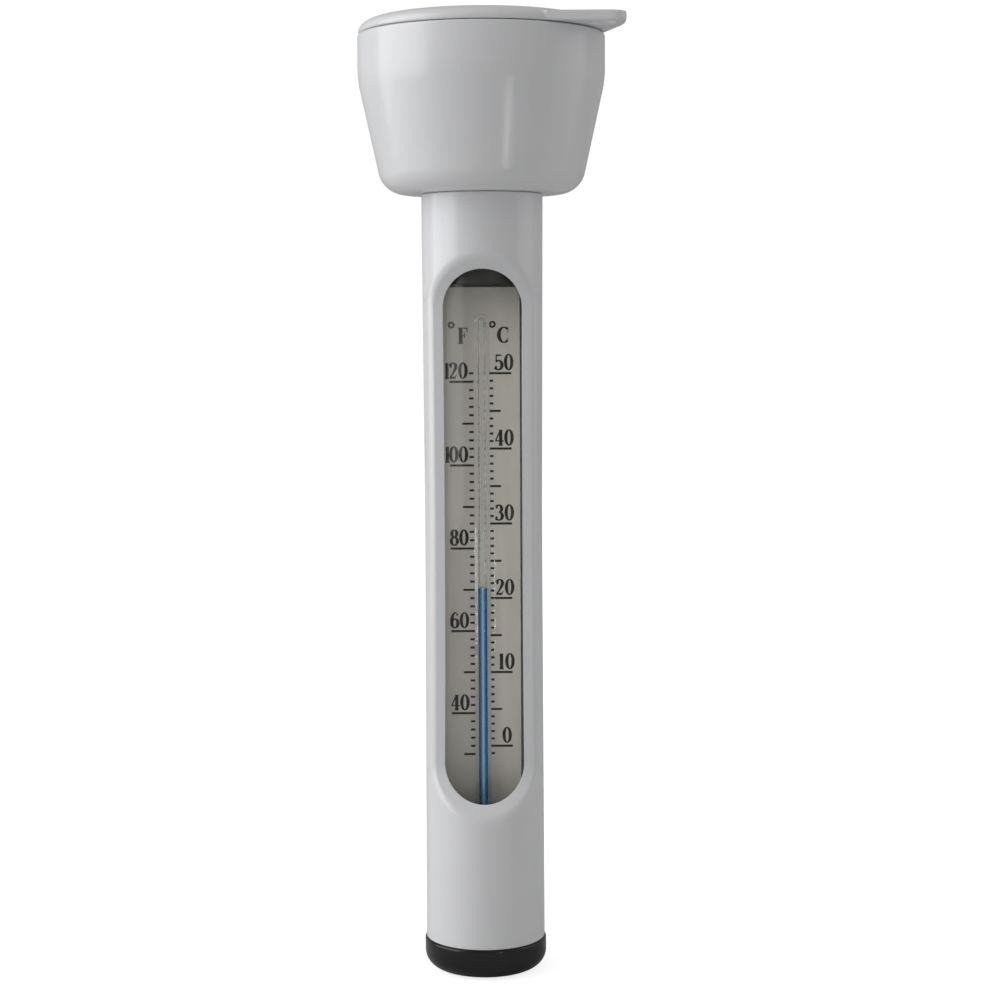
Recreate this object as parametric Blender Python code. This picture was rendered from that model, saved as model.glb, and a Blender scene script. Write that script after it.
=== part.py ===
"""Floating pool thermometer: a windowed stem under a float cup, with a spirit thermometer inside.

The frame has its origin at the centre of the end cap's flat base, +Z up the stem,
and the reading window facing -Y. The tether tab points towards +X and -Y.
"""

import math

import bmesh
import bpy

MM = 0.001
GAP = 0.3 * MM  # clearance kept between pieces that touch
AROUND = 48  # sides of the pieces that show
AROUND_INNER = 32  # sides of the pieces inside
AROUND_THIN = 16  # sides of the glass, its spirit and drilled holes

# Overall
HEIGHT = 190 * MM
SEAM_Z = 186.8 * MM  # underside of the lid's rim

# End cap
CAP_R = 12.3 * MM
CAP_TOP = 6.2 * MM
CAP_EDGE_R = 3.5 * MM
CAP_FLOOR = 2.2 * MM
SPIGOT_TOP = 13.0 * MM
SPIGOT_WALL = 1.25 * MM
INLET_R = 1.2 * MM
INLET_CIRCLE_R = 5.5 * MM
INLET_COUNT = 4

# Stem case, drafted from both ends to a waist
CASE_R = 12.0 * MM
WAIST_R = 11.7 * MM
WAIST_Z = 92 * MM
BORE_R = 9.75 * MM
SHOULDER_Z = 155.5 * MM
NECK_R = 11.3 * MM
NECK_BORE_R = 8.5 * MM
NECK_BORE_Z = 156 * MM
NECK_TOP = 171 * MM
GROOVE_R = 10.6 * MM
GROOVE_Z = (160.0 * MM, 162.6 * MM)

# Window
WINDOW_HALF_WIDTH = 7.6 * MM
WINDOW_Z = (35.2 * MM, 140.8 * MM)
BEVEL_WIDTH = 2.6 * MM
WINDOW_ARC_STEPS = 12

# Float cup
CUP_BASE = 155.8 * MM
CUP_WALL = 1.8 * MM
CUP_FLOOR = 2.0 * MM
CUP_CORNER_R = 5.0 * MM
CUP_CONE_DEG = 12.3  # from vertical
CUP_CONE_FOOT_R = 19.5 * MM  # where the cone's line meets the base plane
CUP_R = 24.35 * MM
CUP_RIM_FILLET = 0.6 * MM

# Lid
LID_R = 24.2 * MM
LID_FLAT_R = 19.6 * MM
LID_EDGE_Z = 187.4 * MM
LID_PLATE = 2.0 * MM
SKIRT_R = 22.2 * MM
SKIRT_WALL = 2.5 * MM
SKIRT_FOOT = 181.3 * MM
LID_GROOVE_R = 20.9 * MM
LID_GROOVE_Z = (183.0 * MM, 185.0 * MM)
TAB_TOP = 188.8 * MM
TAB_FRONT_Y = -21.0 * MM
TAB_END_X = 27.5 * MM
TAB_CORNER_R = 2.5 * MM
TAB_BACK_Y = -13.7 * MM
EYE_R = 2.25 * MM
EYE_XY = (23.4 * MM, -16.4 * MM)

# Clear scale tube and its plugs
TUBE_R = 9.4 * MM
TUBE_BORE_R = 8.5 * MM
TUBE_Z = (26.1 * MM, 150.0 * MM)
PLUG_R = 8.2 * MM
FLANGE = 1.5 * MM
LOWER_PLUG_TOP = 32.0 * MM
UPPER_PLUG_FOOT = 137.75 * MM

# Scale plate
PLATE_HALF_WIDTH = 7.35 * MM
PLATE_X = -0.2 * MM
PLATE_FRONT_Y = 0.9 * MM
PLATE_THICKNESS = 1.0 * MM
PLATE_TOP = 137.45 * MM

# Glass and spirit
GLASS_Y = -1.0 * MM
STEM_R = 1.6 * MM
CAPILLARY_R = 0.8 * MM
STEM_TOP = 132.1 * MM
BULB_R = 2.9 * MM
BULB_WALL = 0.6 * MM
BULB_Z = (10.6 * MM, 23.9 * MM)
SPIRIT_R = 0.6 * MM
SPIRIT_FOOT = 26.4 * MM
ZERO_C_Z = 44.85 * MM
MM_PER_C = 1.508 * MM
REST_C = 21.6

# Ballast and cushions
BALLAST_BORE_R = 5.2 * MM
BALLAST_Z = (13.4 * MM, 22.2 * MM)


def clear_scene():
    for obj in list(bpy.data.objects):
        bpy.data.objects.remove(obj, do_unlink=True)


def plastic(name, colour, roughness, metallic=0.0):
    material = bpy.data.materials.new(name)
    material.use_nodes = True
    shader = material.node_tree.nodes["Principled BSDF"]
    shader.inputs["Base Color"].default_value = (*colour, 1)
    shader.inputs["Roughness"].default_value = roughness
    shader.inputs["Metallic"].default_value = metallic
    return material


def finish(obj, material, smooth_deg=35):
    obj.data.materials.append(material)
    obj.data.shade_smooth()
    obj.data.set_sharp_from_angle(angle=math.radians(smooth_deg))
    return obj


def mesh_object(name, shape):
    bmesh.ops.recalc_face_normals(shape, faces=shape.faces)
    mesh = bpy.data.meshes.new(name)
    shape.to_mesh(mesh)
    shape.free()
    obj = bpy.data.objects.new(name, mesh)
    bpy.context.collection.objects.link(obj)
    return obj


def turned(name, profile, centre_y=0.0, sides=AROUND):
    """A closed (radius, height) outline turned about a vertical axis."""
    shape = bmesh.new()
    points = [shape.verts.new((r, 0, z)) for r, z in profile]
    edges = [shape.edges.new((a, b)) for a, b in zip(points, points[1:] + points[:1])]
    bmesh.ops.spin(
        shape, geom=points + edges, axis=(0, 0, 1), cent=(0, 0, 0),
        angle=2 * math.pi, steps=sides, use_merge=False, use_duplicate=False,
    )
    bmesh.ops.remove_doubles(shape, verts=shape.verts, dist=0.001 * MM)
    on_axis = [edge for edge in shape.edges if not edge.link_faces]
    bmesh.ops.delete(shape, geom=on_axis, context="EDGES")
    obj = mesh_object(name, shape)
    obj.location.y = centre_y
    return obj


def arc(centre, radii, start_deg, end_deg, steps):
    """Points from start to end on an ellipse about centre, angles from outwards towards up."""
    turn = [math.radians(start_deg + (end_deg - start_deg) * i / steps) for i in range(steps + 1)]
    return [(centre[0] + radii[0] * math.cos(a), centre[1] + radii[1] * math.sin(a)) for a in turn]


def prism(name, outline, low, high):
    """A flat (x, y) outline extruded from one height to another."""
    shape = bmesh.new()
    face = shape.faces.new([shape.verts.new((x, y, low)) for x, y in outline])
    up = bmesh.ops.extrude_face_region(shape, geom=[face])["geom"]
    raised = [item for item in up if isinstance(item, bmesh.types.BMVert)]
    bmesh.ops.translate(shape, verts=raised, vec=(0, 0, high - low))
    return mesh_object(name, shape)


def boolean(obj, other, operation):
    """Cuts or joins with a helper, which stays hidden."""
    other.hide_render = True
    other.display_type = "WIRE"
    modifier = obj.modifiers.new(other.name, "BOOLEAN")
    modifier.operation = operation
    modifier.object = other


def drill(name, radius, centre, low, high):
    """A round cutter with a vertical axis."""
    cutter = turned(name, [(0, low), (radius, low), (radius, high), (0, high)], sides=AROUND_THIN)
    cutter.location = (*centre, 0)
    return cutter


def ring_profile(inner, outer, low, high):
    return [(inner, low), (outer, low), (outer, high), (inner, high)]


def disc_profile(radius, low, high):
    return ring_profile(0, radius, low, high)


# Float ------------------------------------------------------------------------------------


def cup_outside(inset):
    """The cup's outer line from its base to the straight wall, moved inwards by inset."""
    slope = math.tan(math.radians(CUP_CONE_DEG))
    corner = CUP_CORNER_R - inset
    centre = (
        CUP_CONE_FOOT_R - CUP_CORNER_R * math.tan(math.radians((90 - CUP_CONE_DEG) / 2)),
        CUP_BASE + CUP_CORNER_R,
    )
    bend_z = CUP_BASE + (CUP_R - CUP_CONE_FOOT_R) / slope
    points = arc(centre, (corner, corner), -90, -CUP_CONE_DEG, 6)
    for rise in (-2.0 * MM, 0.0, 3.0 * MM):
        on_cone = CUP_R + rise * slope if rise < 0 else CUP_R
        softened = 0.12 * MM if rise == 0 else 0
        points.append((on_cone - softened - inset, bend_z + rise))
    return points


def float_cup(material):
    rim = CUP_RIM_FILLET
    top = SEAM_Z - GAP
    outside = cup_outside(0) + arc((CUP_R - rim, top - rim), (rim, rim), 0, 90, 3)
    inside = [(CUP_R - CUP_WALL, top)] + cup_outside(CUP_WALL)[::-1]
    inside[-1] = (inside[-1][0], CUP_BASE + CUP_FLOOR)
    hole = NECK_R + GAP
    floor = [(hole, CUP_BASE + CUP_FLOOR), (hole, CUP_BASE)]
    return finish(turned("float_cup", outside + inside + floor), material)


def foam_core(material):
    clearance = CUP_WALL + 1.5 * GAP
    wall = [p for p in cup_outside(clearance) if p[1] > CUP_BASE + CUP_FLOOR + GAP]
    top = SKIRT_FOOT - GAP
    hole = NECK_R + 3.4 * MM
    foot = CUP_BASE + CUP_FLOOR + GAP
    profile = [(hole, foot), (wall[0][0], foot)] + wall[:-1] + [(wall[-1][0], top), (hole, top)]
    return finish(turned("foam_core", profile, sides=AROUND_INNER), material)


def lid_tab():
    """The tether tab in plan, overlapping the lid's disc."""
    corner = (TAB_END_X - TAB_CORNER_R, TAB_FRONT_Y + TAB_CORNER_R)
    rounded = arc(corner, (TAB_CORNER_R, TAB_CORNER_R), -90, 0, 6)
    outline = [(LID_R / 2, TAB_FRONT_Y)] + rounded + [(TAB_END_X, TAB_BACK_Y), (LID_R, 0), (LID_R / 2, 0)]
    return prism("lid_tab", outline, SEAM_Z, TAB_TOP)


def float_lid(material):
    top = arc((LID_FLAT_R, LID_EDGE_Z), (LID_R - LID_FLAT_R, HEIGHT - LID_EDGE_Z), 90, 0, 6)
    skirt_bore = SKIRT_R - SKIRT_WALL
    profile = [(0, HEIGHT)] + top + [
        (LID_R, SEAM_Z),
        (SKIRT_R, SEAM_Z),
        (SKIRT_R, LID_GROOVE_Z[1]),
        (LID_GROOVE_R, LID_GROOVE_Z[1]),
        (LID_GROOVE_R, LID_GROOVE_Z[0]),
        (SKIRT_R, LID_GROOVE_Z[0]),
        (SKIRT_R, SKIRT_FOOT),
        (skirt_bore, SKIRT_FOOT),
        (skirt_bore, HEIGHT - LID_PLATE),
        (0, HEIGHT - LID_PLATE),
    ]
    lid = turned("float_lid", profile)
    tab = lid_tab()
    hollow = drill("lid_hollow", skirt_bore, (0, 0), SKIRT_FOOT - MM, HEIGHT - LID_PLATE)
    boolean(tab, hollow, "DIFFERENCE")
    boolean(lid, tab, "UNION")
    boolean(lid, drill("tether_eye", EYE_R, EYE_XY, SEAM_Z - MM, TAB_TOP + MM), "DIFFERENCE")
    return finish(lid, material)


def o_ring(name, centre_r, centre_z, section_r, material):
    section = arc((centre_r, centre_z), (section_r, section_r), 0, 360, 8)[:-1]
    return finish(turned(name, section, sides=AROUND_INNER), material, smooth_deg=60)


# Stem case --------------------------------------------------------------------------------


def stadium(half_width, low, high):
    """A slot with round ends in front view, as (x, z) points."""
    upper = arc((0, high - half_width), (half_width, half_width), 0, 180, WINDOW_ARC_STEPS)
    lower = arc((0, low + half_width), (half_width, half_width), 180, 360, WINDOW_ARC_STEPS)
    return upper + lower


def window_cutter():
    """A slot through the front wall, whose bevel runs from the bore out to the stem's surface."""
    inner = stadium(WINDOW_HALF_WIDTH, *WINDOW_Z)
    outer = stadium(
        WINDOW_HALF_WIDTH + BEVEL_WIDTH, WINDOW_Z[0] - BEVEL_WIDTH, WINDOW_Z[1] + BEVEL_WIDTH
    )
    behind = -2 * MM
    ahead = -CASE_R - 3 * MM
    rows = [
        [(x, behind, z) for x, z in inner],
        [(x, -math.sqrt(BORE_R**2 - x * x), z) for x, z in inner],
        [(x, -math.sqrt(CASE_R**2 - x * x), z) for x, z in outer],
        [(x, ahead, z) for x, z in outer],
    ]
    shape = bmesh.new()
    loops = [[shape.verts.new(point) for point in row] for row in rows]
    for back, front in zip(loops, loops[1:]):
        count = len(back)
        for i in range(count):
            j = (i + 1) % count
            shape.faces.new((back[i], back[j], front[j], front[i]))
    shape.faces.new(loops[0])
    shape.faces.new(loops[-1])
    return mesh_object("window_cutter", shape)


def stem_case(material):
    foot = CAP_TOP + GAP
    profile = [
        (CASE_R, foot),
        (WAIST_R, WAIST_Z),
        (CASE_R, SHOULDER_Z),
        (NECK_R, SHOULDER_Z),
        (NECK_R, GROOVE_Z[0]),
        (GROOVE_R, GROOVE_Z[0]),
        (GROOVE_R, GROOVE_Z[1]),
        (NECK_R, GROOVE_Z[1]),
        (NECK_R, NECK_TOP),
        (NECK_BORE_R, NECK_TOP),
        (NECK_BORE_R, NECK_BORE_Z),
        (BORE_R, NECK_BORE_Z),
        (BORE_R, foot),
    ]
    case = turned("stem_case", profile)
    boolean(case, window_cutter(), "DIFFERENCE")
    return finish(case, material)


def retaining_ring(material):
    low, high = GROOVE_Z[0] + GAP, GROOVE_Z[1] - GAP
    section = ring_profile(GROOVE_R + GAP, NECK_R + 2.6 * MM, low, high)
    ring = turned("retaining_ring", section, sides=AROUND_INNER)
    split = prism("ring_split", [(-2 * MM, 0), (2 * MM, 0), (2 * MM, 20 * MM), (-2 * MM, 20 * MM)],
                  low - MM, high + MM)
    boolean(ring, split, "DIFFERENCE")
    return finish(ring, material)


def neck_plug(material):
    profile = [
        (0, GROOVE_Z[1]),
        (PLUG_R, GROOVE_Z[1]),
        (PLUG_R, NECK_TOP + GAP),
        (NECK_R, NECK_TOP + GAP),
        (NECK_R, NECK_TOP + GAP + FLANGE),
        (0, NECK_TOP + GAP + FLANGE),
    ]
    return finish(turned("neck_plug", profile, sides=AROUND_INNER), material)


# Clear tube, plate and glass --------------------------------------------------------------


def scale_tube(material):
    return finish(turned("scale_tube", ring_profile(TUBE_BORE_R, TUBE_R, *TUBE_Z)), material)


def upper_plug(material):
    seat = TUBE_Z[1] + GAP
    profile = [
        (0, UPPER_PLUG_FOOT),
        (PLUG_R, UPPER_PLUG_FOOT),
        (PLUG_R, seat),
        (TUBE_R, seat),
        (TUBE_R, seat + FLANGE),
        (0, seat + FLANGE),
    ]
    return finish(turned("upper_plug", profile, sides=AROUND_INNER), material)


def lower_plug(material):
    seat = TUBE_Z[0] - GAP
    profile = [
        (0, LOWER_PLUG_TOP),
        (PLUG_R, LOWER_PLUG_TOP),
        (PLUG_R, seat),
        (TUBE_R, seat),
        (TUBE_R, seat - FLANGE),
        (0, seat - FLANGE),
    ]
    plug = turned("lower_plug", profile, sides=AROUND_INNER)
    stem_hole = drill("stem_hole", STEM_R + GAP, (0, GLASS_Y), seat - 2 * FLANGE, LOWER_PLUG_TOP + MM)
    boolean(plug, stem_hole, "DIFFERENCE")
    return finish(plug, material)


def scale_plate(material):
    left, right = PLATE_X - PLATE_HALF_WIDTH, PLATE_X + PLATE_HALF_WIDTH
    front, back = PLATE_FRONT_Y, PLATE_FRONT_Y + PLATE_THICKNESS
    outline = [(left, front), (right, front), (right, back), (left, back)]
    return finish(prism("scale_plate", outline, LOWER_PLUG_TOP + GAP, PLATE_TOP), material)


def thermometer_glass(material):
    """Stem and bulb in one piece, with the capillary open at its rounded top."""
    shoulder = BULB_Z[1]
    bulb_foot = BULB_Z[0] + BULB_R
    cavity_r = BULB_R - BULB_WALL
    outside = (
        arc((0, bulb_foot), (BULB_R, BULB_R), -90, 0, 6)
        + arc((STEM_R, shoulder - 2 * MM), (BULB_R - STEM_R, 2 * MM), 0, 90, 4)
        + [(STEM_R, STEM_TOP - STEM_R)]
        + arc((0, STEM_TOP - STEM_R), (STEM_R, STEM_R), 15, 60, 3)
    )
    inside = [
        (CAPILLARY_R, STEM_TOP - STEM_R),
        (CAPILLARY_R, shoulder),
        (cavity_r, shoulder - 2 * MM),
    ] + arc((0, bulb_foot), (cavity_r, cavity_r), 0, -90, 6)
    glass = turned("thermometer_glass", outside + inside, GLASS_Y, AROUND_THIN)
    return finish(glass, material)


def spirit_reservoir(material):
    radius = BULB_R - BULB_WALL - GAP
    foot = BULB_Z[0] + BULB_R
    top = BULB_Z[1] - 2 * MM - GAP
    profile = arc((0, foot), (radius, radius), -90, 0, 5) + [(radius, top), (SPIRIT_R, top + MM), (0, top + MM)]
    return finish(turned("spirit_reservoir", profile, GLASS_Y, AROUND_THIN), material)


def spirit_thread(material):
    top = ZERO_C_Z + REST_C * MM_PER_C
    return finish(
        turned("spirit_thread", disc_profile(SPIRIT_R, SPIRIT_FOOT, top), GLASS_Y, AROUND_THIN), material
    )


def stem_clip(material):
    """A saddle round the glass, open at the back where it meets the plate."""
    low = LOWER_PLUG_TOP + GAP
    clip = turned(
        "stem_clip", ring_profile(STEM_R + GAP, STEM_R + 0.9 * MM, low, low + 0.8 * MM), GLASS_Y,
        AROUND_THIN,
    )
    back = PLATE_FRONT_Y - GAP
    opening = prism(
        "clip_opening", [(-4 * MM, back), (4 * MM, back), (4 * MM, 4 * MM), (-4 * MM, 4 * MM)],
        low - MM, low + 2 * MM,
    )
    boolean(clip, opening, "DIFFERENCE")
    return finish(clip, material)


# Foot ---------------------------------------------------------------------------------------


def ring(name, low, high, material):
    """A plain ring on the stem's bore with a passage for the bulb and the water."""
    section = ring_profile(BALLAST_BORE_R, TUBE_R, low, high)
    return finish(turned(name, section, sides=AROUND_INNER), material)


def end_cap(material):
    spigot = BORE_R - GAP
    hollow = spigot - SPIGOT_WALL
    edge = arc((CAP_R - CAP_EDGE_R, CAP_EDGE_R), (CAP_EDGE_R, CAP_EDGE_R), -90, 0, 6)
    profile = [(0, 0)] + edge + [
        (CAP_R, CAP_TOP),
        (spigot, CAP_TOP),
        (spigot, SPIGOT_TOP),
        (hollow, SPIGOT_TOP),
        (hollow, CAP_FLOOR),
        (0, CAP_FLOOR),
    ]
    cap = turned("end_cap", profile)
    for i in range(INLET_COUNT):
        turn = 2 * math.pi * (i + 0.5) / INLET_COUNT
        centre = (INLET_CIRCLE_R * math.cos(turn), INLET_CIRCLE_R * math.sin(turn))
        boolean(cap, drill(f"inlet_{i + 1}", INLET_R, centre, -MM, CAP_FLOOR + MM), "DIFFERENCE")
    return finish(cap, material)


def build():
    clear_scene()
    white = plastic("white_abs", (0.80, 0.80, 0.81), 0.35)
    black = plastic("black_abs", (0.02, 0.02, 0.022), 0.3)
    rubber = plastic("black_rubber", (0.03, 0.03, 0.03), 0.7)
    foam = plastic("white_foam", (0.86, 0.86, 0.84), 0.9)
    card = plastic("printed_card", (0.62, 0.60, 0.58), 0.6)
    clear = plastic("clear_styrene", (0.85, 0.88, 0.90), 0.05)
    glass = plastic("glass", (0.82, 0.86, 0.88), 0.03)
    spirit = plastic("blue_spirit", (0.02, 0.16, 0.50), 0.2)
    steel = plastic("zinc_plated_steel", (0.55, 0.56, 0.58), 0.35, 1.0)

    float_cup(white)
    float_lid(white)
    seal_r = 0.45 * MM
    o_ring("lid_seal", (LID_GROOVE_R + CUP_R - CUP_WALL) / 2, sum(LID_GROOVE_Z) / 2, seal_r, rubber)
    foam_core(foam)

    stem_case(white)
    neck_seal_r = 1.0 * MM
    o_ring("neck_seal", NECK_R + GAP + neck_seal_r, CUP_BASE + CUP_FLOOR + GAP + neck_seal_r,
           neck_seal_r, rubber)
    retaining_ring(white)
    neck_plug(rubber)

    scale_tube(clear)
    upper_plug(rubber)
    lower_plug(rubber)
    scale_plate(card)
    thermometer_glass(glass)
    spirit_thread(spirit)
    spirit_reservoir(spirit)
    stem_clip(clear)

    upper_foot = TUBE_Z[1] + FLANGE + 2 * GAP
    upper_section = disc_profile(TUBE_R, upper_foot, NECK_BORE_Z - GAP)
    finish(turned("upper_cushion", upper_section, sides=AROUND_INNER), foam)
    ring("lower_cushion", BALLAST_Z[1] + GAP, TUBE_Z[0] - FLANGE - 2 * GAP, rubber)
    ring("ballast_weight", *BALLAST_Z, steel)
    end_cap(black)


build()
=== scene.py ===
import math

import bmesh
import bpy
from mathutils import Matrix, Vector


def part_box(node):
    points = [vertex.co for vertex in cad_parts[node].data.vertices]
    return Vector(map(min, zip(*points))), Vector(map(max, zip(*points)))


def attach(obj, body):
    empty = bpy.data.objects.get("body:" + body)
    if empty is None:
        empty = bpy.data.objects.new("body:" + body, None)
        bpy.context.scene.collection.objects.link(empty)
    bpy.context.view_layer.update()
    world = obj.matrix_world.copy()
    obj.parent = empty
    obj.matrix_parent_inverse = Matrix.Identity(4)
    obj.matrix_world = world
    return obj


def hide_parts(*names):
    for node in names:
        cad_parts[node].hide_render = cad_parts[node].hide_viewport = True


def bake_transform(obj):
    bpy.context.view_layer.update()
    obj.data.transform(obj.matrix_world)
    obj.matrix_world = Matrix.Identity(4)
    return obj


# Floating pool thermometer: the looks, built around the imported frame. Lengths are in metres.

mm = 0.001
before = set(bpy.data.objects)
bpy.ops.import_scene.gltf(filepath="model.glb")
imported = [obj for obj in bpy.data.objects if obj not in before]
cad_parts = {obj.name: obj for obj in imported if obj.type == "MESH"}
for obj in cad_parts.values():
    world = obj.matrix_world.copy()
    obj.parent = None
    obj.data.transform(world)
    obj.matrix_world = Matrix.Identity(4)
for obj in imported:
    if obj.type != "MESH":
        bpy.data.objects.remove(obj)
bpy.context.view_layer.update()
print("frame loaded:", len(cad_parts), "nodes")


# Small tools

def emptySelection():
    if bpy.context.mode != "OBJECT":
        bpy.ops.object.mode_set(mode="OBJECT")
    bpy.ops.object.select_all(action="DESELECT")


def activate(*pieces):
    emptySelection()
    for piece in pieces:
        piece.select_set(True)
    bpy.context.view_layer.objects.active = pieces[0]


def named(piece, name):
    piece.name = piece.data.name = name
    return piece


def settle(piece):  # the piece's place goes into its mesh
    activate(piece)
    bpy.ops.object.transform_apply(location=True, rotation=True, scale=True)
    return piece


def applyAll(piece):
    activate(piece)
    for modifier in list(piece.modifiers):
        bpy.ops.object.modifier_apply(modifier=modifier.name)
    return piece


def smooth(piece, degrees=30):
    activate(piece)
    bpy.ops.object.shade_smooth_by_angle(angle=math.radians(degrees))
    return piece


def facesOut(piece):
    activate(piece)
    bpy.ops.object.mode_set(mode="EDIT")
    bpy.ops.mesh.select_all(action="SELECT")
    bpy.ops.mesh.remove_doubles(threshold=0.0005 * mm)
    bpy.ops.mesh.normals_make_consistent(inside=False)
    bpy.ops.object.mode_set(mode="OBJECT")
    return piece


def selectEdges(piece, test):  # in edit mode: the edges whose two ends pass the test, and nothing else
    bpy.ops.mesh.select_mode(type="EDGE")
    bpy.ops.mesh.select_all(action="DESELECT")
    shape = bmesh.from_edit_mesh(piece.data)
    for edge in shape.edges:
        if all(test(vert.co) for vert in edge.verts):
            edge.select = True
    bmesh.update_edit_mesh(piece.data)


def onRing(radius, height, slack=0.004 * mm):
    def test(co):
        return abs(math.hypot(co.x, co.y) - radius) < slack and abs(co.z - height) < slack
    return test


def turnPiece(name, rings, sides=144, closed=False):
    # rings are (radius, height) or (radius, height, setback of the rounded corner, its segments)
    emptySelection()
    radius, height = rings[0][:2]
    bpy.ops.mesh.primitive_circle_add(vertices=sides, radius=radius, location=(0, 0, height))
    piece = settle(named(bpy.context.object, name))
    bpy.ops.object.mode_set(mode="EDIT")
    bpy.ops.mesh.select_all(action="SELECT")
    for ring in rings[1:]:
        bpy.ops.mesh.extrude_region_move(TRANSFORM_OT_translate={"value": (0, 0, ring[1] - height)})
        scale = ring[0] / radius
        bpy.ops.transform.resize(value=(scale, scale, 1), center_override=(0, 0, ring[1]))
        radius, height = ring[:2]
    if closed:  # the outline comes back to its start
        bpy.ops.mesh.select_mode(type="EDGE")
        bpy.ops.mesh.select_all(action="DESELECT")
        bpy.ops.mesh.select_non_manifold()
        bpy.ops.mesh.bridge_edge_loops()
    else:  # flat ends
        for end in (rings[0], rings[-1]):
            selectEdges(piece, onRing(*end[:2]))
            bpy.ops.mesh.edge_face_add()
    for ring in rings:
        if len(ring) > 2:
            selectEdges(piece, onRing(*ring[:2]))
            bpy.ops.mesh.bevel(offset=ring[2], segments=ring[3], profile=0.5, affect="EDGES")
    bpy.ops.object.mode_set(mode="OBJECT")
    return facesOut(piece)


def arcRings(centre, radii, fromDegrees, toDegrees, steps):  # an elliptic stretch of an outline
    rings = []
    for step in range(steps + 1):
        turn = math.radians(fromDegrees + (toDegrees - fromDegrees) * step / steps)
        rings.append((centre[0] + radii[0] * math.cos(turn), centre[1] + radii[1] * math.sin(turn)))
    return rings


def combine(piece, tool, operation):
    modifier = piece.modifiers.new(operation, "BOOLEAN")
    modifier.operation = operation
    modifier.object = tool
    applyAll(piece)
    bpy.data.objects.remove(tool)
    return piece


def dress(piece, material, body, slot, *nodes):
    piece.data.materials.clear()
    piece.data.materials.append(material)
    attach(piece, body)
    if nodes:
        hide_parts(*nodes)
    return piece


# Materials

def linearColour(hexText):
    channels = [int(hexText[i:i + 2], 16) / 255 for i in (1, 3, 5)]
    return [c / 12.92 if c <= 0.04045 else ((c + 0.055) / 1.055) ** 2.4 for c in channels] + [1]


def addNode(tree, kind, settings=None, links=None):
    # settings: attribute or input to value; links: input to the output that feeds it. An input is a
    # name, or a number where several share a name
    node = tree.nodes.new(kind)
    for key, value in (settings or {}).items():
        if isinstance(key, int) or key in node.inputs:
            node.inputs[key].default_value = value
        else:
            setattr(node, key, value)
    for key, source in (links or {}).items():
        tree.links.new(source, node.inputs[key])
    return node


def newMaterial(name):
    material = bpy.data.materials.new(name)
    material.use_nodes = True
    tree = material.node_tree
    return material, tree, tree.nodes["Principled BSDF"]


def mouldedPlastic(name, look):
    # A moulded skin: slow flow tint, fine grain in the gloss, and a faint texture from the tool
    material, tree, shader = newMaterial(name)
    place = addNode(tree, "ShaderNodeTexCoord").outputs["Object"]
    flow = addNode(
        tree, "ShaderNodeTexNoise", {"Scale": 1 / look["flowSize"], "Detail": 2.0}, {"Vector": place})
    tint = addNode(
        tree, "ShaderNodeMix",
        {"data_type": "RGBA", 6: linearColour(look["colour"]), 7: linearColour(look["flowColour"])},
        {"Factor": flow.outputs["Fac"]},
    )
    tree.links.new(tint.outputs[2], shader.inputs["Base Color"])
    grain = addNode(
        tree, "ShaderNodeTexNoise", {"Scale": 1 / look["grainSize"], "Detail": 3.0}, {"Vector": place})
    gloss = addNode(
        tree, "ShaderNodeMapRange",
        {"To Min": look["roughness"][0], "To Max": look["roughness"][1]}, {"Value": grain.outputs["Fac"]},
    )
    tree.links.new(gloss.outputs["Result"], shader.inputs["Roughness"])
    bump = addNode(
        tree, "ShaderNodeBump", {"Strength": look["bump"], "Distance": look["bumpHeight"]},
        {"Height": grain.outputs["Fac"]},
    )
    tree.links.new(bump.outputs["Normal"], shader.inputs["Normal"])
    shader.inputs["IOR"].default_value = look["ior"]
    return material


whitePlasticLook = {  # white ABS, injection moulded and polished: an even, slightly cool white, soft gloss
    "colour": "#E8E8EA", "flowColour": "#E2E3E4", "flowSize": 22 * mm, "grainSize": 0.5 * mm,
    "roughness": (0.18, 0.24), "bump": 0.04, "bumpHeight": 0.01 * mm, "ior": 1.54,
}
blackPlasticLook = {  # black ABS, moulded and polished: deep, with a clear gloss
    "colour": "#08080A", "flowColour": "#0E0E10", "flowSize": 6 * mm, "grainSize": 0.4 * mm,
    "roughness": (0.1, 0.2), "bump": 0.03, "bumpHeight": 0.01 * mm, "ior": 1.5,
}
blackRubberLook = {  # moulded rubber bung: nearly black, dull
    "colour": "#1B1A19", "flowColour": "#242220", "flowSize": 5 * mm, "grainSize": 0.3 * mm,
    "roughness": (0.45, 0.6), "bump": 0.15, "bumpHeight": 0.02 * mm, "ior": 1.52,
}
cardLook = {  # coated card: warm off-white, matt, with a trace of fibre
    "colour": "#F3EAE3", "flowColour": "#ECE5DA", "flowSize": 9 * mm, "grainSize": 0.25 * mm,
    "roughness": (0.5, 0.65), "bump": 0.1, "bumpHeight": 0.01 * mm, "ior": 1.5,
}
foamLook = {  # closed-cell foam: white, quite matt, with small cells
    "colour": "#ECEBE6", "flowColour": "#E2E0DA", "flowSize": 5 * mm, "grainSize": 0.6 * mm,
    "roughness": (0.75, 0.95), "bump": 0.5, "bumpHeight": 0.1 * mm, "ior": 1.4,
}
zincLook = {  # turned steel with bright zinc plating: a grey metal, slightly cloudy
    "colour": "#B9BBBE", "flowColour": "#A9ACB0", "flowSize": 3 * mm, "grainSize": 0.3 * mm,
    "roughness": (0.25, 0.4), "bump": 0.1, "bumpHeight": 0.01 * mm, "ior": 1.5,
}
inkLook = {  # screen-printed ink: warm black, a little thin at the edges
    "colour": "#1E1A17", "flowColour": "#2E2823", "flowSize": 1.2 * mm, "grainSize": 0.15 * mm,
    "roughness": (0.4, 0.6), "bump": 0.1, "bumpHeight": 0.005 * mm, "ior": 1.5,
}
whitePlastic = mouldedPlastic("whiteMouldedAbs", whitePlasticLook)
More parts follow.
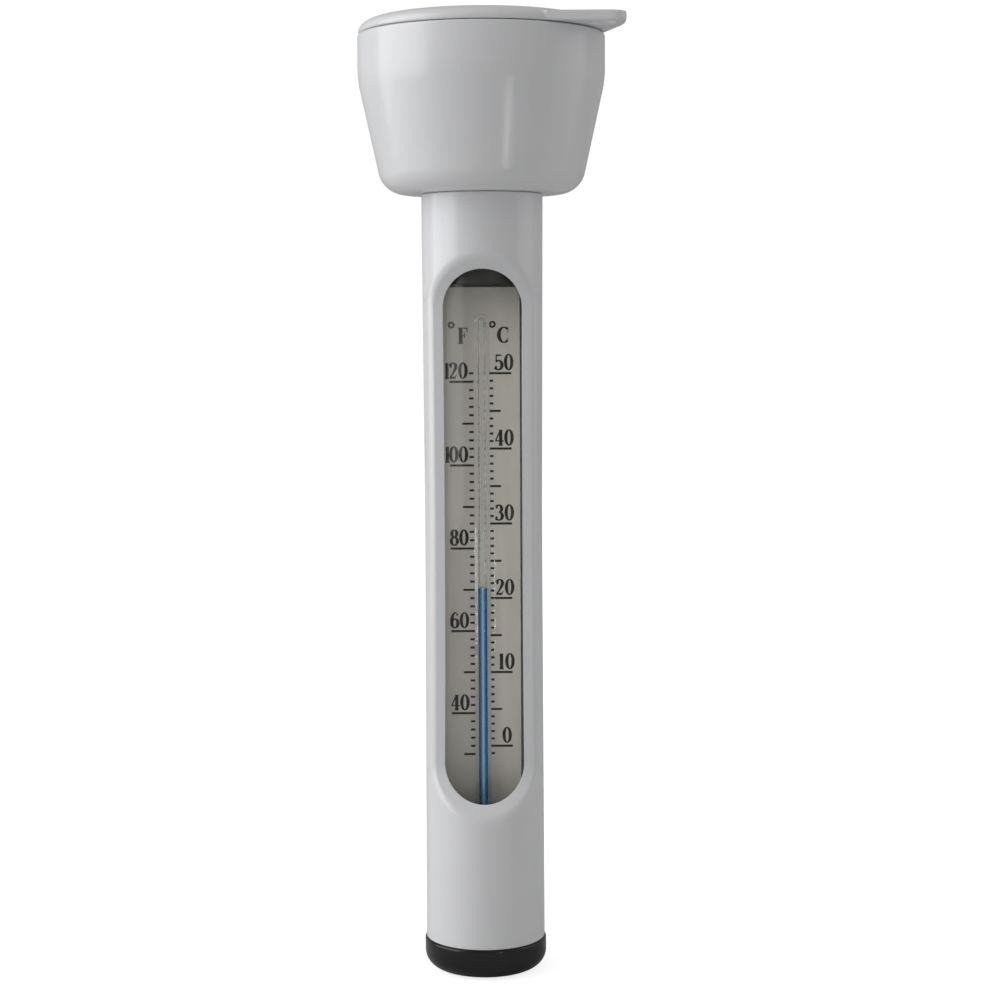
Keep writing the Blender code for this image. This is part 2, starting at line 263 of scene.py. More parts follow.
blackPlastic = mouldedPlastic("blackMouldedAbs", blackPlasticLook)
blackRubber = mouldedPlastic("blackMouldedRubber", blackRubberLook)
coatedCard = mouldedPlastic("coatedCard", cardLook)
printedInk = mouldedPlastic("printedInk", inkLook)
closedCellFoam = mouldedPlastic("closedCellFoam", foamLook)
zincPlate = mouldedPlastic("zincPlatedSteel", zincLook)
zincPlate.node_tree.nodes["Principled BSDF"].inputs["Metallic"].default_value = 1


def clearSolid(name, colour, ior, roughness):
    # Refracts what is seen through it; the light that falls on what it covers passes straight on
    material, tree, shader = newMaterial(name)
    shader.inputs["Base Color"].default_value = linearColour(colour)
    shader.inputs["Transmission Weight"].default_value = 1
    shader.inputs["IOR"].default_value = ior
    place = addNode(tree, "ShaderNodeTexCoord").outputs["Object"]
    filmSize = 4 * mm
    film = addNode(tree, "ShaderNodeTexNoise", {"Scale": 1 / filmSize, "Detail": 2.0}, {"Vector": place})
    haze = addNode(
        tree, "ShaderNodeMapRange", {"To Min": roughness[0], "To Max": roughness[1]},
        {"Value": film.outputs["Fac"]},
    )
    tree.links.new(haze.outputs["Result"], shader.inputs["Roughness"])
    rays = addNode(tree, "ShaderNodeLightPath")
    through = addNode(tree, "ShaderNodeBsdfTransparent", {"Color": linearColour(colour)})
    shown = shader.outputs["BSDF"]
    for passing in ("Is Diffuse Ray", "Is Shadow Ray"):
        feeds = {0: rays.outputs[passing], 1: shown, 2: through.outputs["BSDF"]}
        shown = addNode(tree, "ShaderNodeMixShader", None, feeds).outputs["Shader"]
    tree.links.new(shown, tree.nodes["Material Output"].inputs["Surface"])
    return material


# Clear styrene, extruded: barely visible, so its index is set low. Drawn soda glass: bends what lies behind
clearTube = clearSolid("clearExtrudedStyrene", "#FEFFFE", 1.22, (0.0, 0.02))
stemGlass = clearSolid("drawnGlass", "#FEFFFF", 1.45, (0.0, 0.01))


def makeSpirit(look):
    # Dyed alcohol in a fine bore, deep blue. Across the column the colour is graded by place: painted shade
    # darkens the sides and a painted highlight lightens the middle
    material, tree, shader = newMaterial("dyedSpirit")
    place = addNode(tree, "ShaderNodeTexCoord").outputs["Object"]
    across = addNode(tree, "ShaderNodeSeparateXYZ", None, {"Vector": place}).outputs["X"]
    offset = addNode(tree, "ShaderNodeMath", {"operation": "SUBTRACT", 1: look["middle"]}, {0: across})
    side = addNode(tree, "ShaderNodeMath", {"operation": "ABSOLUTE"}, {0: offset.outputs["Value"]})
    share = addNode(
        tree, "ShaderNodeMapRange", {"From Max": look["radius"]}, {"Value": side.outputs["Value"]})
    # The ramp is painted light: the core colour is a painted highlight down the middle, the edge colour is
    # painted shade at the sides
    ramp = addNode(tree, "ShaderNodeValToRGB", None, {"Fac": share.outputs["Result"]})
    stops = ramp.color_ramp.elements
    stops[0].position, stops[0].color = look["stops"][0], linearColour(look["core"])
    stops[1].position, stops[1].color = look["stops"][2], linearColour(look["edge"])
    stops.new(look["stops"][1]).color = linearColour(look["body"])
    beads = addNode(
        tree, "ShaderNodeTexNoise", {"Scale": 1 / look["beadSize"], "Detail": 1.0}, {"Vector": place})
    part = addNode(
        tree, "ShaderNodeMapRange", {"To Max": look["beadShare"]}, {"Value": beads.outputs["Fac"]})
    shade = addNode(
        tree, "ShaderNodeMix", {"data_type": "RGBA", 7: linearColour(look["body"])},
        {"Factor": part.outputs["Result"], 6: ramp.outputs["Color"]},
    )
    tree.links.new(shade.outputs[2], shader.inputs["Base Color"])
    shader.inputs["Roughness"].default_value = look["roughness"]
    shader.inputs["IOR"].default_value = look["ior"]
    return material


glassShift = -0.28 * mm  # the stem stands a little left of the card's middle
# body is the dye's own blue; core is a painted highlight colour and edge a painted shade colour
dyedSpirit = makeSpirit({
    "middle": glassShift, "radius": 0.6 * mm, "core": "#A6DFEE", "body": "#2E8FCB", "edge": "#0C3480",
    "stops": (0.12, 0.42, 0.9), "beadSize": 0.9 * mm, "beadShare": 0.3, "roughness": 0.2, "ior": 1.36,
})
print("materials ready")


# The float cup

cupLow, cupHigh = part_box("float_cup")
lidLow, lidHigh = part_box("float_lid")
caseLow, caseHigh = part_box("stem_case")
capLow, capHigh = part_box("end_cap")
cup = {
    "radius": cupHigh.x, "wall": 1.8 * mm, "floor": 2.0 * mm, "holeRadius": 11.4 * mm,
    "footRadius": 19.5 * mm,  # where the cone's line meets the base
    "bendHeight": 22.2 * mm,  # where the cone meets the straight wall
    "corner": 4.03 * mm, "rim": 0.5 * mm, "seam": 0.12 * mm,
}
cupBase = cupLow.z - 0.1 * mm
seamHeight = cupHigh.z + 0.3 * mm  # the underside of the lid's rim
rimTop = seamHeight - cup["seam"]


def makeCup():
    wall = cup["wall"]
    return turnPiece("floatCup", [
        (cup["holeRadius"], cupBase, 0.15 * mm, 2),
        (cup["footRadius"], cupBase, cup["corner"], 14),
        (cup["radius"], cupBase + cup["bendHeight"], 1.8 * mm, 8),
        (cup["radius"], rimTop, cup["rim"], 4),
        (cup["radius"] - wall, rimTop, 0.3 * mm, 2),
        (cup["radius"] - wall, cupBase + cup["bendHeight"], 1.5 * mm, 6),
        (cup["footRadius"] - wall, cupBase + cup["floor"], 2.5 * mm, 6),
        (cup["holeRadius"], cupBase + cup["floor"], 0.15 * mm, 2),
    ], 192, closed=True)


floatCup = smooth(makeCup())
dress(floatCup, whitePlastic, "root", "white_plastic", "float_cup")
print("float cup done")


# The lid with its tether tab

lid = {
    "radius": 24.2 * mm, "flatRadius": 19.6 * mm, "edgeHeight": 2.5 * mm, "top": lidHigh.z - 0.3 * mm,
    "skirtRadius": 22.2 * mm, "skirtWall": 2.5 * mm, "groove": (20.9 * mm, 183.0 * mm, 185.0 * mm),
    "tabThickness": 1.9 * mm, "tabEnd": lidHigh.x, "tabCorner": 2.5 * mm, "tabFront": -21.0 * mm,
    "tabBack": -13.7 * mm, "tabRoot": -1.0 * mm, "eyeRadius": 2.25 * mm, "eye": (23.4 * mm, -16.4 * mm),
    "voxel": 0.3 * mm, "relax": (0.5, 8),  # softens the tab's join: strength and rounds
}
nick = {  # a small notch in the front of the lid's edge
    "x": 4.4 * mm, "inset": 0.75 * mm, "drop": 1.0 * mm, "slope": -42, "lean": 30,
    "size": (0.5 * mm, 0.9 * mm, 3.6 * mm),
}


def makeLidTop():
    edge = arcRings((lid["flatRadius"], lid["top"] - lid["edgeHeight"]),
                    (lid["radius"] - lid["flatRadius"], lid["edgeHeight"]), 0, 90, 12)
    foot = [(lid["skirtRadius"] - 1 * mm, seamHeight), (lid["radius"], seamHeight)]
    return turnPiece("floatLid", foot + edge, 192)


def makeTab():
    front, end, back = lid["tabFront"], lid["tabEnd"], lid["tabBack"]
    inner, outer = lid["radius"] / 2, lid["radius"] - 0.2 * mm
    emptySelection()
    bpy.ops.mesh.primitive_plane_add(size=1)
    tab = settle(named(bpy.context.object, "tab"))
    outline = [(inner, front), (end, front), (end, back), (outer, lid["tabRoot"]), (inner, 0)]
    bpy.ops.object.mode_set(mode="EDIT")
    shape = bmesh.from_edit_mesh(tab.data)
    bmesh.ops.delete(shape, geom=shape.verts[:], context="VERTS")
    shape.faces.new([shape.verts.new((x, y, seamHeight)) for x, y in outline])
    bmesh.update_edit_mesh(tab.data)
    bpy.ops.mesh.select_all(action="SELECT")
    bpy.ops.mesh.extrude_region_move(TRANSFORM_OT_translate={"value": (0, 0, lid["tabThickness"])})
    bpy.ops.mesh.select_mode(type="EDGE")
    bpy.ops.mesh.select_all(action="DESELECT")
    shape = bmesh.from_edit_mesh(tab.data)
    for line in shape.edges:  # the two upright corners of the tab's end
        upright = abs(line.verts[0].co.z - line.verts[1].co.z) > lid["tabThickness"] / 2
        line.select = upright and line.verts[0].co.x > end - 0.1 * mm
    bmesh.update_edit_mesh(tab.data)
    bpy.ops.mesh.bevel(offset=lid["tabCorner"], segments=8, affect="EDGES")
    bpy.ops.object.mode_set(mode="OBJECT")
    return facesOut(tab)


def makeSkirt():
    outer, inner = lid["skirtRadius"], lid["skirtRadius"] - lid["skirtWall"]
    grooveRadius, grooveLow, grooveHigh = lid["groove"]
    return smooth(turnPiece("lidSkirt", [
        (inner, lidLow.z, 0.3 * mm, 3), (outer, lidLow.z, 0.4 * mm, 3), (outer, grooveLow),
        (grooveRadius, grooveLow), (grooveRadius, grooveHigh), (outer, grooveHigh),
        (outer, seamHeight + 0.5 * mm), (inner, seamHeight + 0.5 * mm),
    ], 144, closed=True))


def makeLid():
    piece = combine(makeLidTop(), makeTab(), "UNION")
    emptySelection()
    bpy.ops.mesh.primitive_cylinder_add(
        vertices=48, radius=lid["eyeRadius"], depth=10 * mm, location=(*lid["eye"], seamHeight))
    combine(piece, settle(bpy.context.object), "DIFFERENCE")
    remesh = piece.modifiers.new("soften", "REMESH")
    remesh.mode = "VOXEL"
    remesh.voxel_size = lid["voxel"]
    remesh.use_smooth_shade = True
    relax = piece.modifiers.new("relax", "SMOOTH")
    relax.factor, relax.iterations = lid["relax"]
    applyAll(piece)
    emptySelection()
    bpy.ops.mesh.primitive_cube_add(
        size=1, location=(nick["x"], -lid["radius"] + nick["inset"], lid["top"] - nick["drop"]),
        rotation=(math.radians(nick["slope"]), math.radians(nick["lean"]), 0))
    bpy.context.object.scale = nick["size"]
    combine(piece, settle(bpy.context.object), "DIFFERENCE")
    return smooth(piece, 40)


floatLid = makeLid()
lidSkirt = makeSkirt()
dress(floatLid, whitePlastic, "lid", "white_plastic", "float_lid")
dress(lidSkirt, whitePlastic, "lid", "white_plastic", "float_lid")
print("lid done")


# The stem case with its window

case = {
    "endRadius": caseHigh.x, "waistRadius": 11.7 * mm, "waist": 92 * mm, "bore": 9.75 * mm,
    "neckRadius": 11.3 * mm, "neckBore": 8.5 * mm, "neckStep": 156 * mm, "shoulder": cupBase - 0.05 * mm,
    "groove": (10.6 * mm, 160.0 * mm, 162.6 * mm), "joint": 0.22 * mm, "stretches": 12,
}
window = {
    "halfWidth": 7.6 * mm, "low": 35.1 * mm, "high": 140.8 * mm,
    "middle": 95 * mm, "bow": 0.1,  # the sides bow out by 0.1 um times the square of the mm from the middle
    "bevel": 2.65 * mm, "lipDepth": 2.0 * mm,  # how far the lip lies under the stem's surface
    "rounding": 1.1 * mm, "land": 0.25 * mm, "endSteps": 48, "sideSteps": 12,
}


def caseRadius(height):  # drafted from both ends to the waist
    ends = caseLow.z if height < case["waist"] else case["shoulder"]
    share = min(1, abs(height - case["waist"]) / abs(ends - case["waist"]))
    return case["waistRadius"] + (case["endRadius"] - case["waistRadius"]) * share


def windowProfile():  # (how far outside the lip, how far under the stem's surface) from lip to open air
    run, drop, setback = window["bevel"], window["lipDepth"], window["rounding"]
    slope = math.hypot(run, drop)
    start = (run - setback * run / slope, setback * drop / slope)
    end = (run + setback, 0)
    points = [(0, drop + window["land"]), (0, drop + 0.12 * mm), (0.1 * mm, drop - 0.06 * mm)]
    for step in range(8):
        t = 0.75 * step / 7
        bend = [(1 - t) ** 2 * start[i] + 2 * t * (1 - t) * (run, 0)[i] + t * t * end[i] for i in (0, 1)]
        points.append(tuple(bend))
    (x1, y1), (x2, y2) = points[-2:]
    points.append((x2 + (x2 - x1) * 6, y2 + (y2 - y1) * 6))
    return points


def shapeWindowTool():
    # Rings of a slot with round ends, laid on the round stem and joined ring by ring
    half = window["halfWidth"]
    low, high = window["low"] + half, window["high"] - half
    steps, cuts = window["endSteps"], window["sideSteps"]
    outline = []  # (x, z, outward direction) once round the slot
    for i in range(steps + 1):
        turn = math.pi * i / steps
        outline.append((0, high, math.cos(turn), math.sin(turn)))
    for i in range(1, cuts):
        outline.append((0, high + (low - high) * i / cuts, -1, 0))
    for i in range(steps + 1):
        turn = math.pi + math.pi * i / steps
        outline.append((0, low, math.cos(turn), math.sin(turn)))
    for i in range(1, cuts):
        outline.append((0, low + (high - low) * i / cuts, 1, 0))
    rows = []
    for outwards, depth in windowProfile():
        row = []
        for x, z, dx, dz in outline:
            px, pz = x + dx * (half + outwards), z + dz * (half + outwards)
            px += dx * window["bow"] * 1e-6 * ((pz - window["middle"]) / mm) ** 2
            radius = caseRadius(pz) - depth
            row.append((px, -math.sqrt(max(radius ** 2 - px ** 2, 0)), pz))
        rows.append(row)
    rows.insert(0, [(x, -2 * mm, z) for x, y, z in rows[0]])
    rows.append([(x, -20 * mm, z) for x, y, z in rows[-1]])
    mesh = bpy.data.meshes.new("windowTool")
    count = len(outline)
    verts = [point for row in rows for point in row]
    faces = [tuple(range(count)), tuple(range((len(rows) - 1) * count, len(rows) * count))]
    for r in range(len(rows) - 1):
        for i in range(count):
            j = (i + 1) % count
            faces.append((r * count + i, r * count + j, (r + 1) * count + j, (r + 1) * count + i))
    mesh.from_pydata(verts, [], faces)
    tool = bpy.data.objects.new("windowTool", mesh)
    bpy.context.scene.collection.objects.link(tool)
    return facesOut(tool)


def makeCase():
    foot = caseLow.z - case["joint"]  # down onto the end cap, with a fine joint line
    rings = [(case["bore"], foot, 0.2 * mm, 2), (case["endRadius"], foot, 0.25 * mm, 3)]
    for i in range(1, case["stretches"]):
        height = foot + (case["shoulder"] - foot) * i / case["stretches"]
        rings.append((caseRadius(height), height))
    grooveRadius, grooveLow, grooveHigh = case["groove"]
    rings += [
        (case["endRadius"], case["shoulder"], 0.2 * mm, 2),
        (case["neckRadius"], case["shoulder"]),
        (case["neckRadius"], grooveLow),
        (grooveRadius, grooveLow),
        (grooveRadius, grooveHigh),
        (case["neckRadius"], grooveHigh),
        (case["neckRadius"], caseHigh.z, 0.4 * mm, 2),
        (case["neckBore"], caseHigh.z, 0.3 * mm, 2),
        (case["neckBore"], case["neckStep"]),
        (case["bore"], case["neckStep"]),
    ]
    return turnPiece("stemCase", rings, 192, closed=True)


stemCase = combine(makeCase(), shapeWindowTool(), "DIFFERENCE")
smooth(stemCase, 25)
even = stemCase.modifiers.new("even", "WEIGHTED_NORMAL")
even.keep_sharp = True
applyAll(stemCase)
dress(stemCase, whitePlastic, "root", "white_plastic", "stem_case")
print("stem case done")


# Clear tube, plugs, card and glass

tubeLow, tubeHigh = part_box("scale_tube")
plugLow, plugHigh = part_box("upper_plug")
cardLow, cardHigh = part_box("scale_plate")
tube = {"inside": 8.5 * mm, "hold": 1.5 * mm}  # rings near the ends keep the walls' shading straight
plug = {"radius": 8.2 * mm, "flange": tubeHigh.z + 0.2 * mm}
card = {"left": -8.1 * mm, "right": 7.45 * mm, "edge": 0.12 * mm}


def makeTube():
    inside, outside = tube["inside"], tubeHigh.x
    low, high = tubeLow.z, tubeHigh.z
    return smooth(turnPiece("scaleTube", [
        (inside, low, 0.15 * mm, 2), (outside, low, 0.3 * mm, 3),
        (outside, low + tube["hold"]), (outside, high - tube["hold"]),
        (outside, high, 0.3 * mm, 3), (inside, high, 0.15 * mm, 2),
        (inside, high - tube["hold"]), (inside, low + tube["hold"]),
    ], 144, closed=True))


def makePlug():
    return smooth(turnPiece("upperPlug", [
        (plug["radius"], plugLow.z, 0.5 * mm, 4), (plug["radius"], plug["flange"]),
        (tubeHigh.x, plug["flange"], 0.3 * mm, 3), (tubeHigh.x, plugHigh.z, 0.3 * mm, 3),
    ], 128))


def makeCard():
    emptySelection()
    bpy.ops.mesh.primitive_cube_add(size=1, location=(
        (card["left"] + card["right"]) / 2, (cardLow.y + cardHigh.y) / 2, (cardLow.z + cardHigh.z) / 2))
    piece = named(bpy.context.object, "scaleCard")
    piece.scale = (card["right"] - card["left"], cardHigh.y - cardLow.y, cardHigh.z - cardLow.z)
    settle(piece)
    edges = piece.modifiers.new("edges", "BEVEL")
    edges.width = card["edge"]
    edges.segments = 2
    return smooth(applyAll(piece), 40)


scaleTube = makeTube()
dress(scaleTube, clearTube, "root", "clear_plastic", "scale_tube")
upperPlug = makePlug()
dress(upperPlug, blackRubber, "root", "black_rubber", "upper_plug")
scaleCard = makeCard()
dress(scaleCard, coatedCard, "root", "scale_card", "scale_plate")

glassLow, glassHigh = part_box("thermometer_glass")
threadLow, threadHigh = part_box("spirit_thread")
glass = {
    "radius": 1.62 * mm, "bore": 0.6 * mm, "bulb": 2.9 * mm, "bulbWall": 0.6 * mm,
    "shoulder": 23.9 * mm, "slope": 2 * mm,  # where the bulb has narrowed to the stem, and over what height
}
column = {  # fills the bore; its top is crowned, as (share of the radius, how far below the tip)
    "radius": glass["bore"] + 0.012 * mm, "stretches": 16, "crown": ((0.8, 0.1 * mm), (0.3, 0.2 * mm)),
}
axisY = (glassLow.y + glassHigh.y) / 2


def makeGlass():
    radius, bore, bulb, slope = glass["radius"], glass["bore"], glass["bulb"], glass["slope"]
    top, foot = glassHigh.z + 0.2 * mm, glassLow.z + bulb
    narrowed = glass["shoulder"] + 0.5 * mm
    outside = arcRings((0, foot), (bulb, bulb), -85, 0, 10)
    outside += arcRings((radius, glass["shoulder"] - slope), (bulb - radius, slope), 0, 90, 6)
    outside += [(radius, narrowed), (radius, top - radius - 0.5 * mm)]
    outside += arcRings((0, top - radius), (radius, radius), 0, 85, 10)
    piece = smooth(turnPiece("thermometerGlass", outside, 64), 60)
    inner = bulb - glass["bulbWall"]
    inside = arcRings((0, foot), (inner, inner), -85, 0, 8)
    inside += arcRings((bore, glass["shoulder"] - slope), (inner - bore, slope), 0, 90, 5)
    inside += [(bore, narrowed), (bore, top - 2.1 * mm)]
    inside += arcRings((0, top - 1.6 * mm), (bore, bore), 0, 80, 5)
    cavity = smooth(turnPiece("cavity", inside, 48), 60)
    bpy.ops.object.mode_set(mode="EDIT")
    bpy.ops.mesh.select_all(action="SELECT")
    bpy.ops.mesh.flip_normals()
    activate(piece, cavity)
    bpy.ops.object.join()
    piece.location = (glassShift, axisY, 0)
    return settle(piece)


def makeColumn():
    rings = []
    for i in range(column["stretches"] + 1):
        height = threadLow.z + (threadHigh.z - threadLow.z) * i / column["stretches"]
        rings.append((column["radius"], height))
    rings += [(column["radius"] * share, threadHigh.z - drop) for share, drop in column["crown"]]
    piece = smooth(turnPiece("spiritColumn", rings, 32), 60)
    piece.location = (glassShift, axisY, 0)
    return settle(piece)


thermometerGlass = makeGlass()
dress(thermometerGlass, stemGlass, "root", "stem_glass", "thermometer_glass")
spiritColumn = makeColumn()
spiritColumn.data.materials.append(dyedSpirit)
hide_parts("spirit_thread")
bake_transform(spiritColumn)
print("tube, card and glass done")


# The printed scales

scale = {
    "zeroHeight": 44.85 * mm, "perDegree": 1.508 * mm,  # height of 0 degrees C, and rise for each degree
    "line": 0.44 * mm, "thickness": 0.06 * mm, "edge": 0.02 * mm,
    "pitch": 1.95, "overhang": 0.2,  # from figure to figure, and of the last one past its right edge, in mm
    "oneInset": (0.6, 1.0),  # how far in the narrow 1 stands: with two figures, and with three
    "rise": 0.62 * mm,  # foot of the figures above their line
    "thin": 0.13, "thick": 0.33,  # half widths of the figures' hairlines and stems, in mm
    "unitMarks": (("F", -5.1, 126.15), ("C", 2.95, 126.3), ("ring", -7.0, 129.2), ("ring", 1.25, 129.3)),
}
celsius = {  # the lines' reach from the middle is the longest whose step the degree is on
    "first": -1, "last": 50, "step": 1, "start": 1.28 * mm,
    "reach": ((10, 5.7 * mm), (5, 3.55 * mm), (1, 2.05 * mm)), "right": 6.05, "zeroRight": 5.42,
}
fahrenheit = {
    "first": 30, "last": 122, "step": 2, "start": 1.8 * mm,
    "reach": ((20, 6.7 * mm), (10, 4.2 * mm), (2, 2.8 * mm)), "right": -3.12,
}
cardFront = cardLow.y


def heightAt(degree):
    return scale["zeroHeight"] + degree * scale["perDegree"]


def heightAtFahrenheit(degree):
    return heightAt((degree - 32) / 1.8)


def reachOf(degree, side):
    return next(reach for step, reach in side["reach"] if degree % step == 0)


def scaleLines():  # (from x, to x, height) for both scales
    lines = []
    for degree in range(celsius["first"], celsius["last"] + 1, celsius["step"]):
        lines.append((celsius["start"], reachOf(degree, celsius), heightAt(degree)))
    for degree in range(fahrenheit["first"], fahrenheit["last"] + 1, fahrenheit["step"]):
        lines.append((-reachOf(degree, fahrenheit), -fahrenheit["start"], heightAtFahrenheit(degree)))
    return lines


def makeLines():
    marks = []
    for left, right, height in scaleLines():
        emptySelection()
        bpy.ops.mesh.primitive_cube_add(size=1, location=((left + right) / 2, cardFront, height))
        mark = bpy.context.object
        mark.scale = (right - left, scale["thickness"], scale["line"])
        marks.append(settle(mark))
    activate(*marks)
    bpy.ops.object.join()
    lines = named(bpy.context.object, "scaleLines")
    edges = lines.modifiers.new("edges", "BEVEL")
    edges.width = scale["edge"]
    edges.segments = 2
    return smooth(applyAll(lines))


def bow(centre, radii, start, end, thin=scale["thin"], thick=scale["thick"]):
    # A round stroke of a broad pen: thick where it runs upright, thin where it runs level
    steps = max(6, round(abs(end - start) / 9))
    points = []
    for i in range(steps + 1):
        turn = math.radians(start + (end - start) * i / steps)
        upright = abs(math.cos(turn)) ** 1.4
        points.append((centre[0] + radii[0] * math.cos(turn), centre[1] + radii[1] * math.sin(turn),
                       thin + (thick - thin) * upright))
    return points


def dot(x, y, radius):
    return bow((x, y), (radius * 0.52, radius * 0.52), 0, 360, radius * 0.48, radius * 0.48)


def bar(start, end, half, endHalf=None):
    return [(*start, half), (*end, half if endHalf is None else endHalf)]


def figureStrokes():  # each figure's strokes in mm, standing on y = 0, as (x, y, half width)
    thin, thick = scale["thin"], scale["thick"]
    two = bow((0.82, 2.4), (0.56, 0.72), 170, -32)
    two += [(0.75, 0.95, 0.17), (0.22, 0.22, thin)]
    four = [(1.12, 3.15, thin), (0.12, 0.95, thin)]
    six = bow((1.0, 1.35), (0.76, 1.78), 185, 72)
    return {
        "0": [bow((0.87, 1.6), (0.64, 1.52), 0, 360)],
        "1": [bar((0.52, 0.05), (0.52, 3.15), thick), bar((0.5, 3.05), (0.1, 2.7), 0.1, 0.05),
              bar((0.08, 0.07), (0.96, 0.07), thin)],
        "2": [two, dot(0.36, 2.36, 0.22), bar((0.14, 0.2), (1.3, 0.2), 0.2),
              bar((1.2, 0.25), (1.6, 0.85), 0.12, 0.04)],
        "3": [bow((0.72, 2.38), (0.56, 0.72), 150, -92), bow((0.72, 0.88), (0.7, 0.8), 92, -150),
              dot(0.3, 2.6, 0.2), dot(0.24, 0.6, 0.22)],
        "4": [four, bar((0.06, 0.93), (1.74, 0.93), 0.13), bar((1.15, 0.05), (1.15, 3.15), thick),
              bar((0.75, 0.07), (1.55, 0.07), thin)],
        "5": [bar((0.34, 3.1), (0.3, 1.55), thin), bar((0.34, 2.95), (1.4, 2.98), 0.19, 0.12),
              bow((0.74, 1.0), (0.74, 0.92), 130, -150), dot(0.26, 0.62, 0.22)],
        "6": [bow((0.87, 0.98), (0.62, 0.9), 0, 360), six, dot(1.36, 2.72, 0.2)],
        "8": [bow((0.87, 2.42), (0.5, 0.7), 0, 360), bow((0.87, 0.87), (0.62, 0.8), 0, 360)],
        "F": [bar((0.7, 0.05), (0.7, 3.1), thick + 0.04), bar((0.12, 3.1), (2.0, 3.1), 0.09),
              bar((1.9, 3.15), (2.02, 2.3), 0.14, 0.05), bar((0.6, 1.65), (1.4, 1.65), 0.08),
              bar((1.42, 1.15), (1.42, 2.15), 0.09), bar((0.12, 0.07), (1.15, 0.07), 0.08)],
        "C": [bow((1.3, 1.6), (1.02, 1.5), 48, 312, thin, thick + 0.05),
              bar((2.1, 3.1), (2.1, 2.0), 0.1, 0.05),
              bar((1.98, 0.5), (2.12, 1.0), 0.09, 0.04)],
        "ring": [bow((0.68, 0.68), (0.5, 0.5), 0, 360, 0.2, 0.2)],
    }


def makeStroke(points):
    # The pen's edges stand either side of its path, and the flat ribbon is given its thickness
    verts, faces = [], []
    closed = math.dist(points[0][:2], points[-1][:2]) < 1e-6
    for i, (x, y, half) in enumerate(points):
        before = points[i - 1] if i else (points[-2] if closed else points[0])
        after = points[i + 1] if i + 1 < len(points) else (points[1] if closed else points[-1])
        dx, dy = after[0] - before[0], after[1] - before[1]
        length = math.hypot(dx, dy)
        sideX, sideY = dy / length * half, dx / length * half
        verts += [(x - sideX, y + sideY, 0), (x + sideX, y - sideY, 0)]
        if i:
            faces.append((2 * i - 2, 2 * i - 1, 2 * i + 1, 2 * i))
    mesh = bpy.data.meshes.new("stroke")
    mesh.from_pydata([(mm * a, mm * b, c) for a, b, c in verts], [], faces)
    stroke = bpy.data.objects.new("stroke", mesh)
    bpy.context.scene.collection.objects.link(stroke)
    activate(stroke)
    bpy.ops.object.mode_set(mode="EDIT")
    bpy.ops.mesh.select_all(action="SELECT")
    bpy.ops.mesh.remove_doubles(threshold=0.001 * mm)
    bpy.ops.mesh.extrude_region_move(TRANSFORM_OT_translate={"value": (0, 0, scale["thickness"])})
    bpy.ops.object.mode_set(mode="OBJECT")
    return facesOut(stroke)


def makeFigure(strokes):
    figure = makeStroke(strokes[0])
    for points in strokes[1:]:
        combine(figure, makeStroke(points), "UNION")
    return figure


def figurePlaces():  # (figure, x of its left edge, height of its foot)
    words = [(str(d), celsius["right"], heightAt(d)) for d in range(10, celsius["last"] + 1, 10)]
    words += [("0", celsius["zeroRight"], heightAt(0))]
    for degree in range(40, fahrenheit["last"], 20):
        words.append((str(degree), fahrenheit["right"], heightAtFahrenheit(degree)))
    places = []
    for word, right, line in words:
        x = right - scale["pitch"] + scale["overhang"]
        for figure in reversed(word):
            inset = scale["oneInset"][len(word) > 2] if figure == "1" else 0
            places.append((figure, (x + inset) * mm, line + scale["rise"]))
            x -= scale["pitch"]
    return places + [(mark, x * mm, height * mm) for mark, x, height in scale["unitMarks"]]


def makeFigures():
    patterns = {name: makeFigure(strokes) for name, strokes in figureStrokes().items()}
    figures = []
    for name, x, height in figurePlaces():
        figure = patterns[name].copy()
        figure.data = patterns[name].data.copy()
        bpy.context.scene.collection.objects.link(figure)
        figure.rotation_euler = (math.pi / 2, 0, 0)
        figure.location = (x, cardFront + scale["thickness"] / 2, height)
        figures.append(settle(figure))
    for pattern in patterns.values():
        bpy.data.objects.remove(pattern)
    activate(*figures)
    bpy.ops.object.join()
    return named(bpy.context.object, "scaleFigures")


for piece in (makeLines(), makeFigures()):
    dress(piece, printedInk, "root", None)
print("scales printed")


# The end cap

cap = {
    "radius": capHigh.x, "top": 6.2 * mm, "edge": 3.5 * mm, "spigot": 9.45 * mm, "hollow": 8.2 * mm,
    "floor": 2.2 * mm, "centre": 2 * mm,
}
inlets = {"count": 4, "radius": 1.2 * mm, "ring": 5.5 * mm}  # holes that let the water in to the bulb


def makeCap():
    piece = turnPiece("endCap", [
        (cap["centre"], 0), (cap["radius"], 0, cap["edge"], 12), (cap["radius"], cap["top"], 0.35 * mm, 3),
        (cap["spigot"], cap["top"]), (cap["spigot"], capHigh.z, 0.4 * mm, 2),
        (cap["hollow"], capHigh.z, 0.2 * mm, 2), (cap["hollow"], cap["floor"], 0.5 * mm, 3),
        (cap["centre"], cap["floor"]),
    ], 192)
    for i in range(inlets["count"]):
        turn = 2 * math.pi / inlets["count"] * (i + 0.5)
        emptySelection()
        bpy.ops.mesh.primitive_cylinder_add(vertices=32, radius=inlets["radius"], depth=8 * mm, location=(
            inlets["ring"] * math.cos(turn), inlets["ring"] * math.sin(turn), 0))
        combine(piece, settle(bpy.context.object), "DIFFERENCE")
    return smooth(piece)


endCap = makeCap()
dress(endCap, blackPlastic, "cap", "black_plastic", "end_cap")
print("end cap done")


# The pieces inside keep their solids and get their materials

inside = {
    "lid_seal": blackRubber, "neck_seal": blackRubber, "neck_plug": blackRubber, "lower_plug": blackRubber,
    "lower_cushion": blackRubber, "retaining_ring": whitePlastic, "stem_clip": clearTube,
    "foam_core": closedCellFoam, "upper_cushion": closedCellFoam, "spirit_reservoir": dyedSpirit,
    "ballast_weight": zincPlate,
}
for node, material in inside.items():
    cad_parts[node].data.materials.clear()
    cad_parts[node].data.materials.append(material)


# Floor, light and camera

